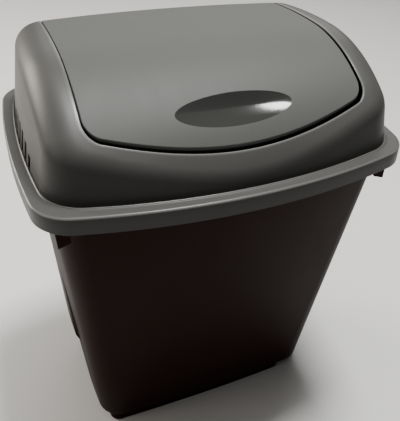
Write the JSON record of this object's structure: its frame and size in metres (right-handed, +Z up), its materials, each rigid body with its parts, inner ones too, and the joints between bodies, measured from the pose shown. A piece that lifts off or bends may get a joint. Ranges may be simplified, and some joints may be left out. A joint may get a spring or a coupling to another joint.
{
  "type": "swing-lid trash can",
  "caption": "Tapered free-standing waste bin with a lift-off flanged hood and a curved flap that swings both ways on stub pins, with a finger recess at its front edge.",
  "frame": {"origin": "on the floor, straight under the middle of the hood's flange", "axes": "+X along the wide side to the viewer's right, +Y from the front to the rear, +Z up"},
  "size_m": [0.4, 0.324, 0.4947],
  "materials": {
    "tub_plastic": "matte black-brown moulded polypropylene",
    "hood_plastic": "fine-grained charcoal moulded polypropylene",
    "flap_plastic": "fine-grained charcoal moulded polypropylene, glossy in the finger recess"
  },
  "bodies": {
    "bin": {"bin_body": "tub_plastic"},
    "lid": {"lid_hood": "hood_plastic"},
    "flap": {"swing_flap": "flap_plastic"}
  },
  "joints": [
    {"name": "lid_lift", "type": "slide", "parent": "bin", "child": "lid", "axis": [0, 0, 1], "range_m": [0, 0.08]},
    {"name": "flap_swing", "type": "hinge", "parent": "lid", "child": "flap", "pos_m": [0, -0.0066, 0.4852], "axis": [1, 0, 0], "range_deg": [-80, 80]}
  ]
}
